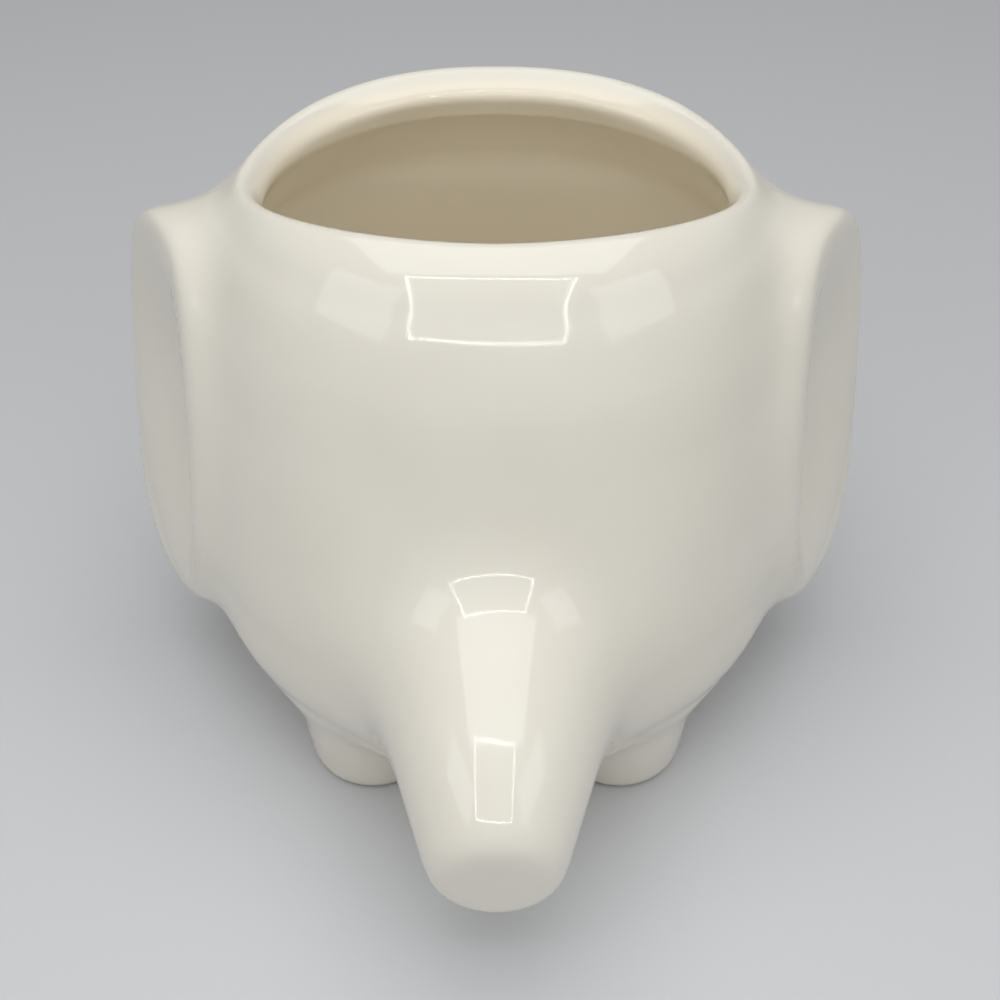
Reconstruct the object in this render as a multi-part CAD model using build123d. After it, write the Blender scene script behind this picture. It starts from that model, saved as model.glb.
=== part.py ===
from build123d import *
import math
import os

# Elephant planter in glazed ceramic, millimetres.
# Z is up, the table is at zero height, the face and the trunk look along -Y.
# Left and right are the animal's own sides: its left is at +X.

os.makedirs("parts", exist_ok=True)

# Body: one hollow round form that is head and back together
body_half_width = 51.0
body_height = 105.8
face_reach = 52.0
back_reach = 47.8
wall = 5.3
rim_wall_back = 7.1

# Outline of the body, from the flat underside to the crown over the opening:
# shares of the height, the half width, the face reach and the back reach
level_shares = (0.075, 0.125, 0.22, 0.36, 0.52, 0.67, 0.80, 0.89, 0.95, 1.0)
width_shares = (0.72, 0.856, 0.973, 1.0, 0.973, 0.937, 0.888, 0.814, 0.712, 0.5225)
face_shares = (0.726, 0.876, 0.982, 1.0, 0.947, 0.867, 0.788, 0.699, 0.611, 0.46)
back_shares = (0.731, 0.865, 0.962, 1.0, 0.99, 0.962, 0.904, 0.817, 0.712, 0.538)
outline_points = 24
body_power = 2.15
floor_level = 1
neck_level = 7
cavity_foot_round = 6.0

# Opening for the plant: an oval, cut with a flare so that the cut face looks inward
opening_half_width = 39.1
opening_front = 23.5
opening_back = 28.5
opening_level_share = 0.93
opening_flare = 1.0
opening_rise = 16.0
rim_round = 2.0

# Trunk: tapers forward and down from a wide root to a blunt end
trunk_root_radius = 24.0
trunk_mid_radius = 16.5
trunk_tip_radius = 10.6
trunk_root_sink = 21.0
trunk_root_z = 35.0
trunk_mid_ahead = 12.0
trunk_mid_z = 41.0
trunk_tip_ahead = 24.2
trunk_tip_z = 19.5
trunk_rings = 7
trunk_tip_round = 6.5
trunk_root_round = 12.0
trunk_seat_clear = 10.0

# Ears: dished flaps on the sides of the head that sweep outward to the back
ear_half_length = 19.8
ear_half_height = 36.8
ear_power = 2.7
ear_sweep = 27.0
ear_splay = 5.7
ear_standoff = 3.3
ear_centre_y = -3.7
ear_level_share = 0.5265
ear_face_lift = 2.8
ear_root_depth = 24.0
ear_root_shift = 7.2
ear_root_spread = 2.9
ear_edge_round = 3.0
ear_border = 5.5
ear_dish_depth = 4.1
ear_dish_power = 2.2
ear_dish_edge_round = 1.2
dish_depth_shares = (0.0, 0.35, 0.7, 0.92, 1.0)
dish_outline_shares = (1.0, 0.86, 0.66, 0.46, 0.25)
ear_seat_turn = 14.0
ear_seat_depth = 2.2

# Legs: short round stubs that carry the body
leg_foot_radius = 11.0
leg_top_radius = 13.2
leg_x = 21.6
front_leg_y = -29.0
rear_leg_y = 24.8
leg_top_share = 0.175
leg_foot_round = 3.0

# Tail: a small drop in relief on the rump
tail_root_radius = 2.4
tail_tuft_radius = 4.2
tail_top_z = 62.0
tail_tip_z = 32.0
tail_lift = 2.0
tail_seat_clear = 0.4

overrun = 160.0


def oval(width, front, back, height, power, shift=0.0):
    """Flat face with an egg-like outline that has its own reach to the front and to the back."""
    points = []
    for i in range(outline_points):
        turn = 2 * math.pi * i / outline_points
        across, along = math.cos(turn), math.sin(turn)
        reach = front if along < 0 else back
        x = width * math.copysign(abs(across) ** (2 / power), across)
        y = reach * math.copysign(abs(along) ** (2 / power), along)
        points.append(Vector(x + shift, y, height))
    return Face(Wire([Edge.make_spline(points, periodic=True)]))


levels = [share * body_height for share in level_shares]
widths = [share * body_half_width for share in width_shares]
fronts = [share * face_reach for share in face_shares]
backs = [share * back_reach for share in back_shares]
underside = levels[0]
ear_centre_z = ear_level_share * body_height


def inset(values, i):
    """The outline moved inward by the wall, measured square to its own slope. Over the neck the
    back has the thicker wall of the lip."""
    low, high = max(i - 1, 0), min(i + 1, len(values) - 1)
    slope = (values[high] - values[low]) / (levels[high] - levels[low])
    thickness = rim_wall_back if values is backs and i > neck_level else wall
    return values[i] - thickness * math.sqrt(1 + slope ** 2)


def make_body():
    """Closed outer form of the body."""
    sections = []
    for i in range(len(levels)):
        sections.append(oval(widths[i], fronts[i], backs[i], levels[i], body_power))
    return loft(sections)


def flared(reach, height):
    """Reach of the opening at a height: it grows upward by the flare."""
    return reach + (height - opening_level_share * body_height) * opening_flare


def make_room():
    """Space for the plant: the body's outline inset by the wall up to the neck, and from there
    whichever is wider, the inset or the flared opening, out through the crown."""
    sections = []
    for i in range(floor_level, neck_level + 1):
        sections.append(oval(inset(widths, i), inset(fronts, i), inset(backs, i), levels[i], body_power))
    for low, high in ((neck_level, neck_level + 1), (neck_level + 1, neck_level + 1)):
        height = (levels[low] + levels[high]) / 2
        reaches = []
        for values, reach in ((widths, opening_half_width), (fronts, opening_front), (backs, opening_back)):
            inner = (inset(values, low) + inset(values, high)) / 2
            reaches.append(max(inner, flared(reach, height)))
        sections.append(oval(*reaches, height, body_power))
    for rise in (opening_rise / 2, opening_rise):
        height = levels[neck_level + 1] + rise
        sections.append(oval(flared(opening_half_width, height), flared(opening_front, height),
                             flared(opening_back, height), height, body_power))
    room = loft(sections)
    foot = room.edges().sort_by(Axis.Z)[0]
    return fillet(foot, cavity_foot_round)


def make_trunk():
    """Tapered trunk along a falling curve, with a rounded blunt end."""
    path = Bezier((0, trunk_root_sink - face_reach, trunk_root_z),
                  (0, -face_reach - trunk_mid_ahead, trunk_mid_z),
                  (0, -face_reach - trunk_tip_ahead, trunk_tip_z))
    rings = []
    for i in range(trunk_rings):
        t = i / (trunk_rings - 1)
        root_part = (1 - t) ** 2 * trunk_root_radius
        mid_part = 2 * t * (1 - t) * trunk_mid_radius
        radius = root_part + mid_part + t ** 2 * trunk_tip_radius
        rings.append(Plane(origin=path @ t, z_dir=path % t) * Circle(radius))
    horn = loft(rings)
    end = horn.faces().sort_by(Axis.Y)[0]
    return fillet(end.edges(), trunk_tip_round)


def outward(sweep, side):
    """Direction square to the ear, swept to the front by an angle and leaning up by the splay."""
    turn, splay = math.radians(sweep), math.radians(ear_splay)
    return Vector(side * math.cos(turn) * math.cos(splay), -math.sin(turn) * math.cos(splay), math.sin(splay))


def make_ear():
    """Dished flap of the left side on its tapering root, swept outward to the back."""
    foot_height = ear_face_lift - ear_root_depth
    blank = loft([
        oval(ear_half_length + ear_root_spread, ear_half_height, ear_half_height, foot_height, ear_power,
             shift=-ear_root_shift),
        oval(ear_half_length, ear_half_height, ear_half_height, ear_face_lift, ear_power),
    ], ruled=True)
    border = blank.edges().sort_by(Axis.Z)[-1]
    blank = fillet(border, ear_edge_round)
    sections = []
    for depth, share in zip(dish_depth_shares, dish_outline_shares):
        height = (ear_half_height - ear_border) * share
        sections.append(oval((ear_half_length - ear_border) * share, height, height,
                             ear_face_lift - depth * ear_dish_depth, ear_dish_power))
    flap = blank - loft(sections)
    face_edges = [e for e in flap.edges() if e.bounding_box().min.Z > ear_face_lift - ear_edge_round / 2]
    dish_edge = sorted(face_edges, key=lambda e: e.length)[0]
    flap = fillet(dish_edge, ear_dish_edge_round)
    turn = math.radians(ear_sweep)
    place = Plane(origin=(body_half_width + ear_standoff, ear_centre_y, ear_centre_z),
                  x_dir=(math.sin(turn), math.cos(turn), 0), z_dir=outward(ear_sweep, 1))
    return place.location * flap


def make_leg(x, y):
    """Short round leg, a little wider at the top, with a rounded foot."""
    stub = Solid.make_cone(leg_foot_radius, leg_top_radius, leg_top_share * body_height)
    foot = stub.edges().sort_by(Axis.Z)[0]
    return Pos(x, y, 0) * fillet(foot, leg_foot_round)


def make_tail():
    """Drop-shaped tail, turned about its own axis and laid on the rump."""
    root = Vector(0, back_reach, tail_top_z)
    tip = Vector(0, back_reach + tail_lift, tail_tip_z)
    length = (tip - root).length
    outline = Spline((0, 0), (tail_root_radius, tail_root_radius),
                     (tail_tuft_radius, length - tail_tuft_radius), (0, length), tangents=((1, 0), (-1, 0)))
    face = make_face([outline, Line((0, length), (0, 0))])
    drop = revolve(face, Axis.Y)
    return Plane(origin=root, x_dir=(1, 0, 0), z_dir=Vector(1, 0, 0).cross(tip - root)).location * drop


def beyond(seat):
    """Large block on the outer side of a seat plane."""
    return seat.location * Pos(0, 0, overrun / 2) * Box(overrun, overrun, overrun)


def make_planter():
    """The whole planter as one piece of clay, before it is divided at its seats."""
    clay = make_body() + make_trunk()
    joint = [e for e in clay.edges()
             if e.bounding_box().max.Y < -face_reach / 2
             and e.bounding_box().min.Y > -face_reach - trunk_root_round
             and e.length > trunk_root_radius]
    clay = fillet(joint, trunk_root_round)
    ear = make_ear()
    clay = clay + ear + mirror(ear, Plane.YZ) + make_tail()
    for side in (1, -1):
        for y in (front_leg_y, rear_leg_y):
            clay = clay + make_leg(side * leg_x, y)
    room = make_room()
    pot = clay - room
    return fillet(new_edges(clay, room, combined=pot), rim_round)


# Flat seats where the pieces meet the body
ear_seat_reach = body_half_width - ear_seat_depth
seats = {
    "trunk": Plane(origin=(0, -face_reach - trunk_seat_clear, 0), z_dir=(0, -1, 0)),
    "left_ear": Plane(origin=outward(ear_seat_turn, 1) * ear_seat_reach + Vector(0, 0, ear_centre_z),
                      z_dir=outward(ear_seat_turn, 1)),
    "right_ear": Plane(origin=outward(ear_seat_turn, -1) * ear_seat_reach + Vector(0, 0, ear_centre_z),
                       z_dir=outward(ear_seat_turn, -1)),
    "tail": Plane(origin=(0, back_reach + tail_seat_clear, 0), z_dir=(0, 1, 0)),
}
leg_seat = Plane(origin=(0, 0, underside), z_dir=(0, 0, -1))

planter = make_planter()
pieces = {}
for name, seat in seats.items():
    pieces[name] = planter & beyond(seat)
    planter = planter - beyond(seat)
legs = planter & beyond(leg_seat)
pieces["pot_body"] = planter - beyond(leg_seat)
for leg in legs.solids():
    end = "front" if leg.center().Y < 0 else "rear"
    side = "left" if leg.center().X > 0 else "right"
    pieces[end + "_" + side + "_leg"] = leg

# Stand the planter on the table with the origin under the middle of its whole outline
rearmost = pieces["tail"].bounding_box().max.Y
foremost = pieces["trunk"].bounding_box().min.Y
to_middle = Pos(0, -(rearmost + foremost) / 2, 0)
for name, piece in pieces.items():
    export_step(to_middle * piece, "parts/" + name + ".step")
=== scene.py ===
import math
import bmesh
import bpy
import numpy as np
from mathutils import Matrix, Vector


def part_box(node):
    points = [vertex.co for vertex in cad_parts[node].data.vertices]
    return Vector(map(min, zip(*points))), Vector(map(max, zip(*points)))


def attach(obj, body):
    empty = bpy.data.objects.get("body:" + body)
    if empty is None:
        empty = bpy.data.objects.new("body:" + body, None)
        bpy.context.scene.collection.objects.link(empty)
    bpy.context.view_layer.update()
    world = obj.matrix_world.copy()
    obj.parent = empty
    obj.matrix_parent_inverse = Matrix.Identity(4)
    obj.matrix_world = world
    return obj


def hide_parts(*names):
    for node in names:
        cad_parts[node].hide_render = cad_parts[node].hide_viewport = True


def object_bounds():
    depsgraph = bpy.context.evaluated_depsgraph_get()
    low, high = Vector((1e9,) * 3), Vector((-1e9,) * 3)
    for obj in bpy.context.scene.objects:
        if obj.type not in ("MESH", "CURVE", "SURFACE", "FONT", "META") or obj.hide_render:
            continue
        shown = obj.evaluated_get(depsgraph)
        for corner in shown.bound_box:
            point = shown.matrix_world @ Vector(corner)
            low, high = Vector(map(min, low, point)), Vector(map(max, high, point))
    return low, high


# Elephant planter in glazed ceramic. Z is up, the face and the trunk look along -Y, and the animal's
# left side is at +X. The forms are worked out in millimetres, with y = 0 at the body's own middle,
# and turn into metres when a mesh is made. Lamps, floor and the glaze's patterns are in metres.

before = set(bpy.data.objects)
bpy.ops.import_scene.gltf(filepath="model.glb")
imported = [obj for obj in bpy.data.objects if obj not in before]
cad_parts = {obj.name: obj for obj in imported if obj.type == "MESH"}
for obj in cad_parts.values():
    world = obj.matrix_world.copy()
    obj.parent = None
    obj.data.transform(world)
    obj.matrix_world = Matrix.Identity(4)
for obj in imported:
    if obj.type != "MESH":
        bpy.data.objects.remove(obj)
cad_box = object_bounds()
MM = 0.001

# Seats: planes at which the skin is divided into pieces. The legs' lies a little below that of their
# solids, and a point within the snap counts as lying on its plane.
TRUNK_SEAT, TAIL_SEAT = -62.0, 48.2
EAR_SEAT = dict(turn=14.0, tilt=5.7, reach=48.8)
LEG_SEAT, LEG_SEAT_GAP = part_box("front_left_leg")[1].z / MM, 0.4
SEAT_SNAP = 0.002

# How far the body's own middle stands behind the middle of the whole outline
BODY_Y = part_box("trunk")[1].y / MM - TRUNK_SEAT

# Body: heights of its rings and, at each, half width, reach of the face and reach of the back; the
# ovals' power, the rounding at crown and foot, and the step at which its slope is measured
BODY_HEIGHT, BODY_HALF_WIDTH, FACE_REACH, BACK_REACH = 105.8, 51.0, 52.0, 47.8
RING_Z = BODY_HEIGHT * np.array([0.075, 0.125, 0.22, 0.36, 0.52, 0.67, 0.80, 0.89, 0.95, 1.0])
RING_WIDE = BODY_HALF_WIDTH * np.array([0.72, 0.856, 0.973, 1.0, 0.973, 0.937, 0.888, 0.814, 0.712,
                                        0.5225])
RING_FACE = FACE_REACH * np.array([0.726, 0.876, 0.982, 1.0, 0.947, 0.867, 0.788, 0.699, 0.611, 0.46])
RING_BACK = BACK_REACH * np.array([0.731, 0.865, 0.962, 1.0, 0.99, 0.962, 0.904, 0.817, 0.712, 0.538])
BODY = dict(power=2.15, crown=3.0, foot=6.0, step=0.5)

# Room for the plant: wall, how much thicker it gets at the back lip and where, floor, and the flared
# oval opening with its least reach and the rounding at its foot
WALL = 5.3
BACK_LIP = dict(more=2.6, low=80.0, high=94.0, from_y=4.0, to_y=26.0)
FLOOR = dict(z=13.2, roll=6.0)
OPENING = dict(z=98.4, wide=39.1, face=23.5, back=28.5, power=1.9, flare=1.0, foot=83.0, least=2.0,
               roll=1.0)

# Trunk: centres (y, z) and radii of its curve's three control points; the search for its nearest
# point, with first tries, Newton rounds, the least bend they divide by and how far along the curve it
# may go, where 1 is the end; and the plane of the blunt end, which looks forward and down
TRUNK_CURVE = np.array([(-31.0, 35.0), (-64.0, 41.0), (-79.2, 25.1)])
TRUNK_RADII = np.array([24.0, 16.5, 9.3])
TRUNK_SEARCH = dict(tries=8, rounds=4, stiff=100.0, reach=1.3)
TRUNK_END = dict(y=-79.2, z=25.1, fall=12.0, roll=4.5)

# Ears: the flap with its root, which shifts forward and widens inward, and the hollow in its face.
# Slack is the share at which the distance to the flap's outline is taken.
EAR = dict(sweep=27.0, splay=0.10, x=54.6, y=-3.7, z=56.5, long=20.0, tall=35.6, power=2.4, slack=0.95,
           lift=2.8, deep=24.0, shift=0.30, widen=0.12, heighten=0.02, roll=5.5, root_roll=2.0)
DISH = dict(front=15.0, back=16.6, tall=31.4, low=-6.5, lean=0.05, power=2.2, deep=5.4, steep=1.5,
            brim=12.0)

# Legs and tail; the tail's radii go from its upper end to its tip
LEG = dict(x=21.6, front=-29.0, rear=24.8, foot=11.0, flare=0.12, top=18.5, top_roll=2.0, toe=4.0)
TAIL = dict(top=62.0, tip=32.0, inset=1.0, lift=1.6)
TAIL_SHARES = np.array([0.0, 0.1, 0.45, 0.86, 1.0])
TAIL_RADII = np.array([1.0, 2.4, 3.4, 3.9, 1.0])

# How wide the clay is smoothed where two forms meet
BLEND = dict(trunk=18.0, ear=13.0, dish=5.0, leg=4.0, tail=1.2, lip=5.0, rim=2.3)

# Net over the skin: size of a cell and cells left free around it; how often its points are eased, by
# what share, and how often they are put back each time; the step at which the skin's slope is
# measured; and the share of the way out under which a point counts as an oval's middle
PITCH, MARGIN = 1.0, 3
SETTLE = dict(rounds=3, share=0.5, returns=2)
SLOPE_STEP = 0.05
MIDDLE_SHARE = 1e-3

# Glaze: colours where it is thick and where it is thin, a warmer, brighter cream painted in the room
# as painted bounce light, and the bare clay under the feet; gloss where it is thick and where it is
# thin; clouds, with the span of them that turns into colour and into gloss; ripples of its surface;
# heights at which a foot is glazed and bare, with the bare clay's roughness; and the depth in
# millimetres at which the room's painted bounce light starts and is full
CREAM = (0.82, 0.79, 0.70, 1)
CREAM_THIN = (0.79, 0.755, 0.66, 1)
# Painted bounce light: a warmer, brighter cream on the room's walls and floor, standing in for light
# bounced inside the hollow
CREAM_PAINTED_BOUNCE = (0.93, 0.86, 0.71, 1)
CLAY = (0.70, 0.64, 0.54, 1)
GLOSS = (0.05, 0.09)
GLAZE_IOR = 1.52
CLOUD = dict(scale=38.0, detail=3.0)
CLOUD_TONE, CLOUD_GLOSS = (0.3, 0.7), (0.35, 0.65)
RIPPLE = dict(scale=55.0, detail=1.0)
RIPPLE_STRENGTH, RIPPLE_HEIGHT = 0.25, 0.0004
FOOT = dict(glazed=0.0009, bare=0.0004, rough=0.7)
ROOM_PAINTED_BOUNCE = dict(start=1.0, full=0.85 * WALL)

# A Mix node's two inputs and its output, by what it mixes
MIX_SOCKETS = {"FLOAT": (2, 3, 0), "RGBA": (6, 7, 2)}

# Camera: it looks from above the face at a point in front of the body. Point and distance are in
# millimetres, the nearest and farthest that it sees in metres.
AIM = np.array([0.0, BODY_Y - 22.1, 51.5])
ELEVATION, DISTANCE, LENS, SENSOR, SHIFT = 40.0, 243.8, 54.0, 36.0, 0.004
NEAREST, FARTHEST = 0.01, 20.0

# Floor, surround and lamps; the panel's bright edges are strips with watts by the square metre, a
# little nearer to the planter than the panel itself
FLOOR_REACH, FLOOR_COLOUR, FLOOR_ROUGH = 3, (0.62, 0.63, 0.65, 1), 0.6
SURROUND_COLOUR, SURROUND = (1.0, 1.0, 1.0, 1), 0.30
OVERHEAD = dict(place=(0, -0.05, 0.75), aim=(0, -0.01, 0.05), wide=0.85, tall=0.65, watts=3.1)
SIDE_PLACE = (0.40, -0.33, 0.36)
SIDE = dict(aim=(0, 0, 0.06), wide=0.30, tall=0.20, watts=0.22)
PANEL = dict(place=(-0.014, -0.262, 0.298), aim=(0, -0.03, 0.06), wide=0.28, tall=0.19, watts=0.10)
STRIP, STRIP_AHEAD, STRIP_WATTS = 0.0035, 0.002, 60.0


def knots(x, xs, ys):
    """Smooth curve through knots: a cubic on each span whose slopes come from the neighbours."""
    slopes = np.gradient(ys, xs)
    i = np.clip(np.searchsorted(xs, x) - 1, 0, len(xs) - 2)
    span = xs[i + 1] - xs[i]
    t = np.clip((x - xs[i]) / span, 0, 1)
    return ((2 * t**3 - 3 * t**2 + 1) * ys[i] + (t**3 - 2 * t**2 + t) * span * slopes[i]
            + (3 * t**2 - 2 * t**3) * ys[i + 1] + (t**3 - t**2) * span * slopes[i + 1])


def ease(value, low, high):
    """0 below a low value, 1 above a high one, with a smooth rise between: 3t^2 - 2t^3."""
    t = np.clip((value - low) / (high - low), 0, 1)
    return t * t * (3 - 2 * t)


def join(a, b, width):
    """Union of two forms with a soft joint: the lower distance, less width / 6 times the cube of how
    near the two are, which is 1 where they are equal and 0 where they differ by the width."""
    near = np.maximum(width - np.abs(a - b), 0) / width
    return np.minimum(a, b) - near**3 * width / 6


def cut(a, b, width):
    """What two forms share, with a soft edge: the union of their outsides, turned round."""
    return -join(-a, -b, width)


def oval(u, v, half_u, half_v, power):
    """Distance to an oval |u/a|^n + |v/b|^n = 1, measured along the ray from its middle."""
    share = (np.abs(u / half_u)**power + np.abs(v / half_v)**power)**(1 / power)
    way = np.hypot(u, v) * (1 - 1 / np.maximum(share, MIDDLE_SHARE))
    return np.where(share > MIDDLE_SHARE, way, -np.minimum(half_u, half_v))


def body(x, y, z, grow=0.0):
    """Stack of ovals whose half width and reach follow the ring tables with height. The distance is
    divided by sqrt(1 + slope^2) of the half width, and cut off softly at crown and foot."""
    height = np.clip(z, RING_Z[0], RING_Z[-1])
    wide = knots(height, RING_Z, RING_WIDE)
    reach = np.where(y < 0, knots(height, RING_Z, RING_FACE), knots(height, RING_Z, RING_BACK))
    side = oval(x, y, wide, reach, BODY["power"])
    above = np.clip(height + BODY["step"], RING_Z[0], RING_Z[-1])
    rise = knots(above, RING_Z, RING_WIDE) - wide
    side = side / np.sqrt(1 + (rise / BODY["step"])**2)
    return cut(cut(side, z - RING_Z[-1], BODY["crown"]), RING_Z[0] - z, BODY["foot"]) - grow


def trunk(x, y, z):
    """Distance to a quadratic curve that falls forward, less a radius that shrinks along it, cut off
    softly by a tilted plane, which makes the blunt end. The nearest point starts from the best of a
    few tries and is sharpened by Newton steps; it may run on past the curve's end."""
    start, middle, end = TRUNK_CURVE
    first, second = 2 * (middle - start), start - 2 * middle + end
    tries = np.linspace(0, 1, TRUNK_SEARCH["tries"])
    gaps = [(y - start[0] - t * first[0] - t * t * second[0])**2
            + (z - start[1] - t * first[1] - t * t * second[1])**2 for t in tries]
    t = tries[np.argmin(gaps, axis=0)]

    def gap():
        return (start[0] + t * first[0] + t * t * second[0] - y,
                start[1] + t * first[1] + t * t * second[1] - z)

    for _ in range(TRUNK_SEARCH["rounds"]):
        dy, dz = gap()
        vy, vz = first[0] + 2 * t * second[0], first[1] + 2 * t * second[1]
        bend = vy**2 + vz**2 + 2 * (dy * second[0] + dz * second[1])
        t = np.clip(t - (dy * vy + dz * vz) / np.maximum(bend, TRUNK_SEARCH["stiff"]), 0,
                    TRUNK_SEARCH["reach"])
    dy, dz = gap()
    radius = (1 - t)**2 * TRUNK_RADII[0] + 2 * t * (1 - t) * TRUNK_RADII[1] + t**2 * TRUNK_RADII[2]
    fall = math.radians(TRUNK_END["fall"])
    past = (TRUNK_END["y"] - y) * math.cos(fall) + (TRUNK_END["z"] - z) * math.sin(fall)
    return cut(np.sqrt(x**2 + dy**2 + dz**2) - radius, past, TRUNK_END["roll"])


def on_ear(x, y, z, side):
    """Place seen from an ear: along it to the back, up it, and outward from its middle."""
    turn = math.radians(EAR["sweep"])
    px, py, up = x * side - EAR["x"], y - EAR["y"], z - EAR["z"]
    along = px * math.sin(turn) + py * math.cos(turn)
    return along, up, px * math.cos(turn) - py * math.sin(turn) + EAR["splay"] * up


def ear(x, y, z, side):
    """Flap with an oval outline and a flat outer face, on a root that shifts and widens with depth:
    each measure of the oval grows by its share times the depth behind the face."""
    along, up, out = on_ear(x, y, z, side)
    root = np.clip(EAR["lift"] - out, 0, EAR["deep"])
    edge = oval(along + EAR["shift"] * root, up, EAR["long"] + EAR["widen"] * root,
                EAR["tall"] + EAR["heighten"] * root, EAR["power"])
    flap = cut(edge * EAR["slack"], out - EAR["lift"], EAR["roll"])
    return cut(flap, EAR["lift"] - EAR["deep"] - out, EAR["root_roll"])


def dish(x, y, z, side):
    """Hollow of an ear: its face sinks by the depth times a power of 1 - s, where s is the n-th power
    of the way out from a lowest line near the front border, and rises again outside by (s - 1)^2.
    The height over that face is divided by sqrt(1 + slope^2)."""
    along, up, out = on_ear(x, y, z, side)
    along = along - DISH["low"] - DISH["lean"] * up
    span = np.where(along < 0, DISH["front"] + DISH["low"], DISH["back"] - DISH["low"])
    power, steep, tall = DISH["power"], DISH["steep"], DISH["tall"]
    s = np.abs(along / span)**power + np.abs(up / tall)**power
    below, above = np.maximum(1 - s, 0), np.maximum(s - 1, 0)
    sunk = DISH["deep"] * below**steep - DISH["brim"] * above**2
    pull = power * (DISH["deep"] * steep * below**(steep - 1) + 2 * DISH["brim"] * above)
    grade = np.hypot(np.abs(along / span)**(power - 1) / span, np.abs(up / tall)**(power - 1) / tall)
    return (out - EAR["lift"] + sunk) / np.sqrt(1 + (pull * grade)**2)


def leg(x, y, z, y0):
    """Round stub whose radius grows with height, with a rounded toe."""
    stub = np.hypot(np.abs(x) - LEG["x"], y - y0) - LEG["foot"] - LEG["flare"] * z
    return cut(cut(stub, z - LEG["top"], LEG["top_roll"]), -z, LEG["toe"])


def tail(x, y, z):
    """Drop that hangs on the rump: distance to a leaning line, less a radius that grows to the tuft."""
    t = np.clip((TAIL["top"] - z) / (TAIL["top"] - TAIL["tip"]), 0, 1)
    y0 = BACK_REACH + TAIL["lift"] * t
    z0 = np.clip(z, TAIL["tip"] + TAIL["inset"], TAIL["top"] - TAIL["inset"])
    return np.sqrt(x**2 + (y - y0)**2 + (z - z0)**2) - knots(t, TAIL_SHARES, TAIL_RADII)


def wall(y, z):
    """Thickness of the clay, which grows upward and backward to the lip at the back."""
    lip = BACK_LIP
    return WALL + lip["more"] * ease(z, lip["low"], lip["high"]) * ease(y, lip["from_y"], lip["to_y"])


def opening(x, y, z):
    """Oval plug above a set height, whose reach grows upward by the flare."""
    grow = OPENING["flare"] * (z - OPENING["z"])
    wide = np.maximum(OPENING["wide"] + grow, OPENING["least"])
    reach = np.maximum(np.where(y < 0, OPENING["face"], OPENING["back"]) + grow, OPENING["least"])
    side = oval(x, y, wide, reach, OPENING["power"])
    return cut(side / math.sqrt(1 + OPENING["flare"]**2), OPENING["foot"] - z, OPENING["roll"])


def planter(x, y, z):
    """Distance to the whole planter's skin: forms joined softly, dished and then hollowed."""
    y = y - BODY_Y
    clay = join(body(x, y, z), trunk(x, y, z), BLEND["trunk"])
    for side in (-1, 1):
        clay = join(clay, ear(x, y, z, side), BLEND["ear"])
        clay = cut(clay, dish(x, y, z, side), BLEND["dish"])
    for y0 in (LEG["front"], LEG["rear"]):
        clay = join(clay, leg(x, y, z, y0), BLEND["leg"])
    clay = join(clay, tail(x, y, z), BLEND["tail"])
    room = cut(body(x, y, z, grow=-wall(y, z)), FLOOR["z"] - z, FLOOR["roll"])
    room = join(room, opening(x, y, z), BLEND["lip"])
    return cut(clay, -room, BLEND["rim"])


def slope(points):
    """Gradient of the distance at points, by central differences."""
    grad = np.empty_like(points)
    for k in range(3):
        ahead, behind = points.copy(), points.copy()
        ahead[:, k] += SLOPE_STEP
        behind[:, k] -= SLOPE_STEP
        grad[:, k] = (planter(*ahead.T) - planter(*behind.T)) / (2 * SLOPE_STEP)
    return grad


def facing(points):
    """Direction square to the skin at points: the gradient over its length."""
    grad = slope(points)
    return grad / np.linalg.norm(grad, axis=1)[:, None]


def net(low, high, pitch):
    """Net over the zero of the distance: every cell of a box grid that the skin crosses holds one
    point, the mean of the crossings on its twelve edges, and every crossed edge holds one square
    between the points of its four cells."""
    counts = np.ceil((high - low) / pitch).astype(int) + 1
    axes = [low[k] + pitch * np.arange(counts[k]) for k in range(3)]
    value = planter(*np.meshgrid(*axes, indexing="ij"))
    inside = value < 0
    total = np.zeros((*(counts + 1), 3))
    number = np.zeros(counts + 1)
    crossings = []
    for k in range(3):
        near, far = [slice(None)] * 3, [slice(None)] * 3
        near[k], far[k] = slice(None, -1), slice(1, None)
        near, far = tuple(near), tuple(far)
        crossed = inside[near] != inside[far]
        at = np.argwhere(crossed)
        share = value[near][crossed] / (value[near][crossed] - value[far][crossed])
        point = low + pitch * at
        point[:, k] += pitch * share
        i, j = [m for m in range(3) if m != k]
        around = []
        for di, dj in ((0, 0), (1, 0), (1, 1), (0, 1)):
            cell = at + 1
            cell[:, i] -= 1 - di
            cell[:, j] -= 1 - dj
            around.append(cell)
            np.add.at(total, tuple(cell.T), point)
            np.add.at(number, tuple(cell.T), 1)
        crossings.append((k, np.stack(around, 1), inside[near][crossed]))
    used = number > 0
    index = np.full(number.shape, -1)
    index[used] = np.arange(used.sum())
    points = total[used] / number[used][:, None]
    quads = []
    for k, around, leaving in crossings:
        quad = index[tuple(np.moveaxis(around, 2, 0))]
        flip = leaving if k == 1 else ~leaving
        quad[flip] = quad[flip][:, ::-1]
        quads.append(quad)
    return points, np.concatenate(quads)


def settle(points, quads):
    """Points moved along the skin by a share of the way to their neighbours' mean, and put back on
    it by Newton steps: the distance times the gradient, over the gradient's square."""
    pairs = np.concatenate([quads[:, [k, (k + 1) % 4]] for k in range(4)])
    for _ in range(SETTLE["rounds"]):
        mean = np.zeros_like(points)
        for k in range(3):
            mean[:, k] = np.bincount(pairs[:, 0], points[pairs[:, 1], k], len(points))
        mean /= np.bincount(pairs[:, 0], minlength=len(points))[:, None]
        unit = facing(points)
        move = SETTLE["share"] * (mean - points)
        points = points + move - unit * (move * unit).sum(1)[:, None]
        for _ in range(SETTLE["returns"]):
            grad = slope(points)
            points = points - grad * (planter(*points.T) / (grad**2).sum(1))[:, None]
    return points


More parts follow.
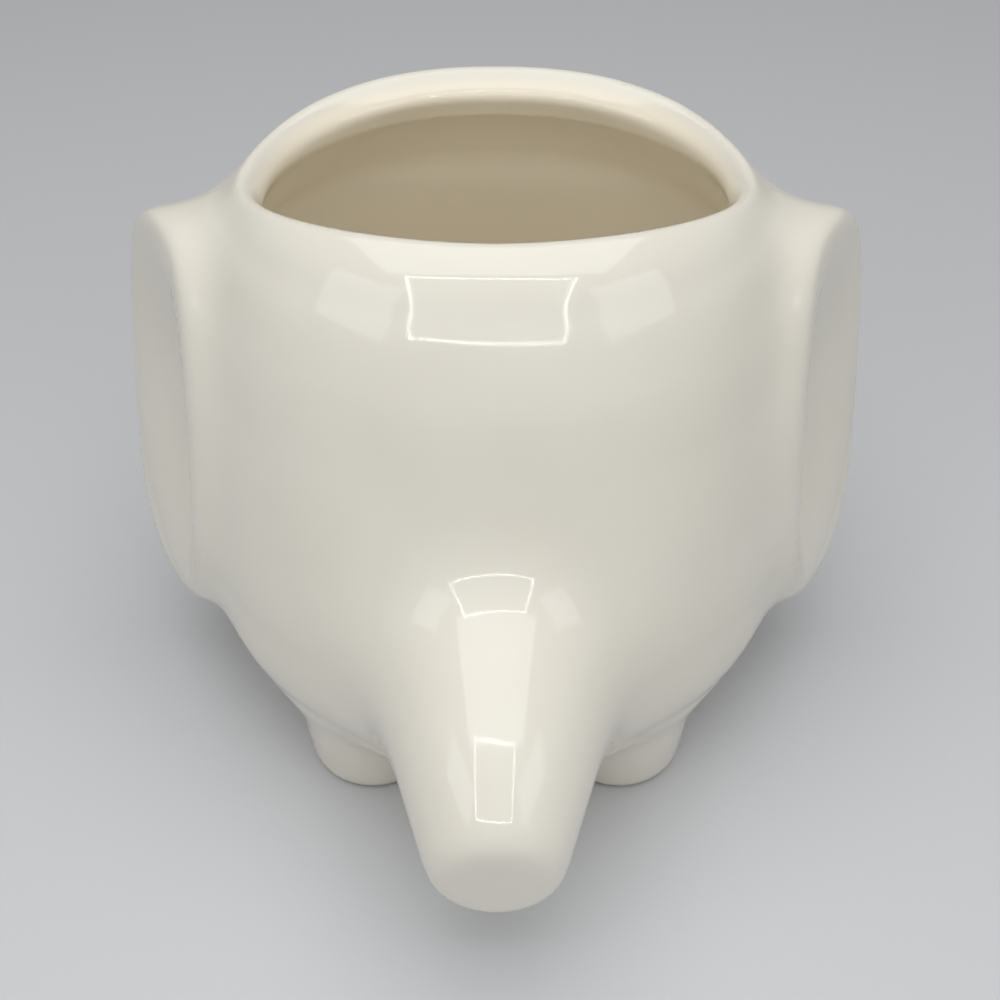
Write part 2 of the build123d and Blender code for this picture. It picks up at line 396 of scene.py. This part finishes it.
def halves(whole, point, normal):
    """Parts of a closed mesh beyond a plane and before it, each closed with a flat cap on the cut
    that looks out of its part."""
    parts = []
    for beyond in (True, False):
        part = whole.copy()
        geometry = part.verts[:] + part.edges[:] + part.faces[:]
        done = bmesh.ops.bisect_plane(part, geom=geometry, plane_co=point, plane_no=normal,
                                      dist=SEAT_SNAP, clear_inner=beyond, clear_outer=not beyond)
        rim = [e for e in done["geom_cut"] if isinstance(e, bmesh.types.BMEdge) and e.is_boundary]
        filled = bmesh.ops.holes_fill(part, edges=rim, sides=0)["faces"]
        mark = part.faces.layers.int["cap"]
        out = -Vector(normal) if beyond else Vector(normal)
        for face in filled:
            face.normal_update()
            if face.normal.dot(out) < 0:
                face.normal_flip()
            face[mark] = 1
        parts.append(part)
    return parts


def outward(turn, tilt, side):
    """Direction from the middle out through an ear's seat, turned to the front and leaning up."""
    a, b = math.radians(turn), math.radians(tilt)
    return np.array([side * math.cos(a) * math.cos(b), -math.sin(a) * math.cos(b), math.sin(b)])


def room_share(points):
    """Share of the painted bounce light: 0 on the outside and 1 on the walls and floor of the room,
    with a
    slow change over the rim: the depth under the body's outer form, eased."""
    x, y, z = points.T
    return ease(-body(x, y - BODY_Y, z), ROOM_PAINTED_BOUNCE["start"], ROOM_PAINTED_BOUNCE["full"])


def read(items, kind, fields, size=1):
    """One field of a mesh's items as an array."""
    values = np.empty(len(items) * size, kind)
    items.foreach_get(fields, values)
    return values


def make_piece(node, part, slot):
    """Piece in metres that stands for a node. Its skin takes its normals from the planter's formula,
    so that it runs on over the seats without a line, and its caps stay flat."""
    mesh = bpy.data.meshes.new(node + "_glazed")
    part.to_mesh(mesh)
    places = read(mesh.vertices, float, "co", 3)
    points = places.reshape(-1, 3)
    unit = facing(points)
    corner = read(mesh.loops, int, "vertex_index")
    sizes = read(mesh.polygons, int, "loop_total")
    flat = read(mesh.polygons, float, "normal", 3)
    cap = read(mesh.attributes["cap"].data, int, "value")
    on_cap = np.repeat(cap == 1, sizes)
    normals = np.where(on_cap[:, None], np.repeat(flat.reshape(-1, 3), sizes, axis=0), unit[corner])
    mesh.polygons.foreach_set("use_smooth", cap == 0)
    inside = mesh.attributes.new("inside", "FLOAT", "POINT")
    # Share of the painted bounce light at each point
    inside.data.foreach_set("value", room_share(points))
    mesh.vertices.foreach_set("co", places * MM)
    mesh.update()
    mesh.normals_split_custom_set(normals.tolist())
    piece = bpy.data.objects.new(node + "_glazed", mesh)
    bpy.context.scene.collection.objects.link(piece)
    mesh.materials.append(GLAZES[slot])
    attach(piece, "root")
    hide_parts(node)


def pattern(tree, place, look):
    """Cloudy noise on the object's own coordinates."""
    noise = tree.nodes.new("ShaderNodeTexNoise")
    noise.inputs["Scale"].default_value = look["scale"]
    noise.inputs["Detail"].default_value = look["detail"]
    tree.links.new(place.outputs["Object"], noise.inputs["Vector"])
    return noise.outputs["Fac"]


def stretched(tree, value, span, result=(0.0, 1.0)):
    """A value's span stretched to a result's, and held at both ends."""
    stretch = tree.nodes.new("ShaderNodeMapRange")
    for socket, number in zip(("From Min", "From Max", "To Min", "To Max"), (*span, *result)):
        stretch.inputs[socket].default_value = number
    tree.links.new(value, stretch.inputs["Value"])
    return stretch.outputs["Result"]


def towards(tree, kind, share, under, over):
    """What lies under, changed to a fixed colour or number by a share from 0 to 1."""
    mix = tree.nodes.new("ShaderNodeMix")
    mix.data_type = kind
    low, high, result = MIX_SOCKETS[kind]
    mix.inputs[high].default_value = over
    tree.links.new(share, mix.inputs[0])
    tree.links.new(under, mix.inputs[low])
    return mix.outputs[result]


def glaze(name, foot):
    """Cream glaze: gloss over a dense body, faint clouding, a warmer, brighter tone painted in the room
    as painted bounce light, and bare clay where the foot stands."""
    material = bpy.data.materials.new(name)
    material.use_nodes = True
    tree = material.node_tree
    shader = tree.nodes["Principled BSDF"]
    shader.inputs["IOR"].default_value = GLAZE_IOR
    place = tree.nodes.new("ShaderNodeTexCoord")
    cloud = pattern(tree, place, CLOUD)
    tone = tree.nodes.new("ShaderNodeValToRGB")
    for stop, position, cream in zip(tone.color_ramp.elements, CLOUD_TONE, (CREAM_THIN, CREAM)):
        stop.position, stop.color = position, cream
    tree.links.new(cloud, tone.inputs["Fac"])
    inside = tree.nodes.new("ShaderNodeAttribute")
    inside.attribute_name = "inside"
    # Painted bounce light: the room's warmer, brighter cream, mixed in by the inside share
    colour = towards(tree, "RGBA", inside.outputs["Fac"], tone.outputs["Color"], CREAM_PAINTED_BOUNCE)
    rough = stretched(tree, cloud, CLOUD_GLOSS, GLOSS)
    if foot:
        split = tree.nodes.new("ShaderNodeSeparateXYZ")
        tree.links.new(place.outputs["Object"], split.inputs["Vector"])
        bare = stretched(tree, split.outputs["Z"], (FOOT["glazed"], FOOT["bare"]))
        colour = towards(tree, "RGBA", bare, colour, CLAY)
        rough = towards(tree, "FLOAT", bare, rough, FOOT["rough"])
    tree.links.new(colour, shader.inputs["Base Color"])
    tree.links.new(rough, shader.inputs["Roughness"])
    bump = tree.nodes.new("ShaderNodeBump")
    bump.inputs["Strength"].default_value = RIPPLE_STRENGTH
    bump.inputs["Distance"].default_value = RIPPLE_HEIGHT
    tree.links.new(pattern(tree, place, RIPPLE), bump.inputs["Height"])
    tree.links.new(bump.outputs["Normal"], shader.inputs["Normal"])
    return material


def turn_to(thing, place, way):
    """Puts a camera or lamp at a place, so that it looks along a way."""
    thing.location = place
    thing.rotation_mode = "QUATERNION"
    thing.rotation_quaternion = way.to_track_quat("-Z", "Y")
    bpy.context.scene.collection.objects.link(thing)


def lamp(name, place, aim, wide, tall, watts):
    """Rectangular soft lamp at a place, turned towards a point."""
    data = bpy.data.lights.new(name, "AREA")
    data.shape = "RECTANGLE"
    data.size, data.size_y = wide, tall
    data.energy = watts
    turn_to(bpy.data.objects.new(name, data), place, Vector(aim) - Vector(place))


def edged_panel():
    """Soft panel with a bright narrow strip along each of its four edges."""
    lamp("panel", **PANEL)
    place, aim, wide, tall = Vector(PANEL["place"]), Vector(PANEL["aim"]), PANEL["wide"], PANEL["tall"]
    ahead = (aim - place).normalized()
    across = Vector((1, 0, 0))
    upward = across.cross(ahead)
    for name, step, size in (("top", upward * tall / 2, (wide, STRIP)),
                             ("foot", -upward * tall / 2, (wide, STRIP)),
                             ("left", across * wide / 2, (STRIP, tall)),
                             ("right", -across * wide / 2, (STRIP, tall))):
        lamp("panel_" + name, place + step + ahead * STRIP_AHEAD, aim + step, *size,
             STRIP_WATTS * size[0] * size[1])


# Camera
camera_data = bpy.data.cameras.new("camera")
camera_data.lens = LENS
camera_data.sensor_width = SENSOR
camera_data.shift_x = SHIFT
camera_data.clip_start, camera_data.clip_end = NEAREST, FARTHEST
camera = bpy.data.objects.new("camera", camera_data)
rise = math.radians(ELEVATION)
back = Vector((0, -math.cos(rise), math.sin(rise)))
turn_to(camera, Vector(AIM * MM) + back * DISTANCE * MM, -back)
bpy.context.scene.camera = camera

# Skin of the whole planter
points, quads = net(np.array(cad_box[0]) / MM - MARGIN * PITCH,
                    np.array(cad_box[1]) / MM + MARGIN * PITCH, PITCH)
mesh = bpy.data.meshes.new("skin")
mesh.from_pydata(settle(points, quads).tolist(), [], quads.tolist())
whole = bmesh.new()
whole.from_mesh(mesh)
whole.faces.layers.int.new("cap")

# Its division at the seats: trunk, ears and tail come off first, then the legs
GLAZES = {"cream_glaze": glaze("cream_glaze", foot=False), "foot_glaze": glaze("foot_glaze", foot=True)}
seats = {"trunk": ((0, BODY_Y + TRUNK_SEAT, 0), (0, -1, 0))}
for node, side in (("left_ear", 1), ("right_ear", -1)):
    way = outward(EAR_SEAT["turn"], EAR_SEAT["tilt"], side)
    seats[node] = tuple(way * EAR_SEAT["reach"] + (0, BODY_Y, EAR["z"])), tuple(way)
seats["tail"] = (0, BODY_Y + TAIL_SEAT, 0), (0, 1, 0)
for node, (point, normal) in seats.items():
    beyond, whole = halves(whole, point, normal)
    make_piece(node, beyond, "cream_glaze")
legs, whole = halves(whole, (0, 0, LEG_SEAT - LEG_SEAT_GAP), (0, 0, -1))
make_piece("pot_body", whole, "cream_glaze")
for end, fore in (("front", True), ("rear", False)):
    for hand, left in (("left", True), ("right", False)):
        one = legs.copy()
        other = [v for v in one.verts if (v.co.x > 0) != left or (v.co.y < BODY_Y) != fore]
        bmesh.ops.delete(one, geom=other, context="VERTS")
        make_piece(end + "_" + hand + "_leg", one, "foot_glaze")

# Pale floor
floor_mesh = bpy.data.meshes.new("floor")
floor_mesh.from_pydata([(x * FLOOR_REACH, y * FLOOR_REACH, 0)
                        for x, y in ((-1, -1), (1, -1), (1, 1), (-1, 1))], [], [(0, 1, 2, 3)])
floor = bpy.data.objects.new("floor", floor_mesh)
bpy.context.scene.collection.objects.link(floor)
floor_paint = bpy.data.materials.new("floor_paint")
floor_paint.use_nodes = True
floor_shader = floor_paint.node_tree.nodes["Principled BSDF"]
floor_shader.inputs["Base Color"].default_value = FLOOR_COLOUR
floor_shader.inputs["Roughness"].default_value = FLOOR_ROUGH
floor_mesh.materials.append(floor_paint)

# Soft light from above, from a bright-edged panel in front and from both sides, and an even surround
lamp("overhead", **OVERHEAD)
edged_panel()
for hand, side in (("left", -1), ("right", 1)):
    lamp("side_" + hand, (side * SIDE_PLACE[0], *SIDE_PLACE[1:]), **SIDE)
world = bpy.data.worlds.new("surround")
world.use_nodes = True
surround = world.node_tree.nodes["Background"]
surround.inputs["Color"].default_value = SURROUND_COLOUR
surround.inputs["Strength"].default_value = SURROUND
bpy.context.scene.world = world
bpy.context.scene.view_settings.view_transform = "Standard"
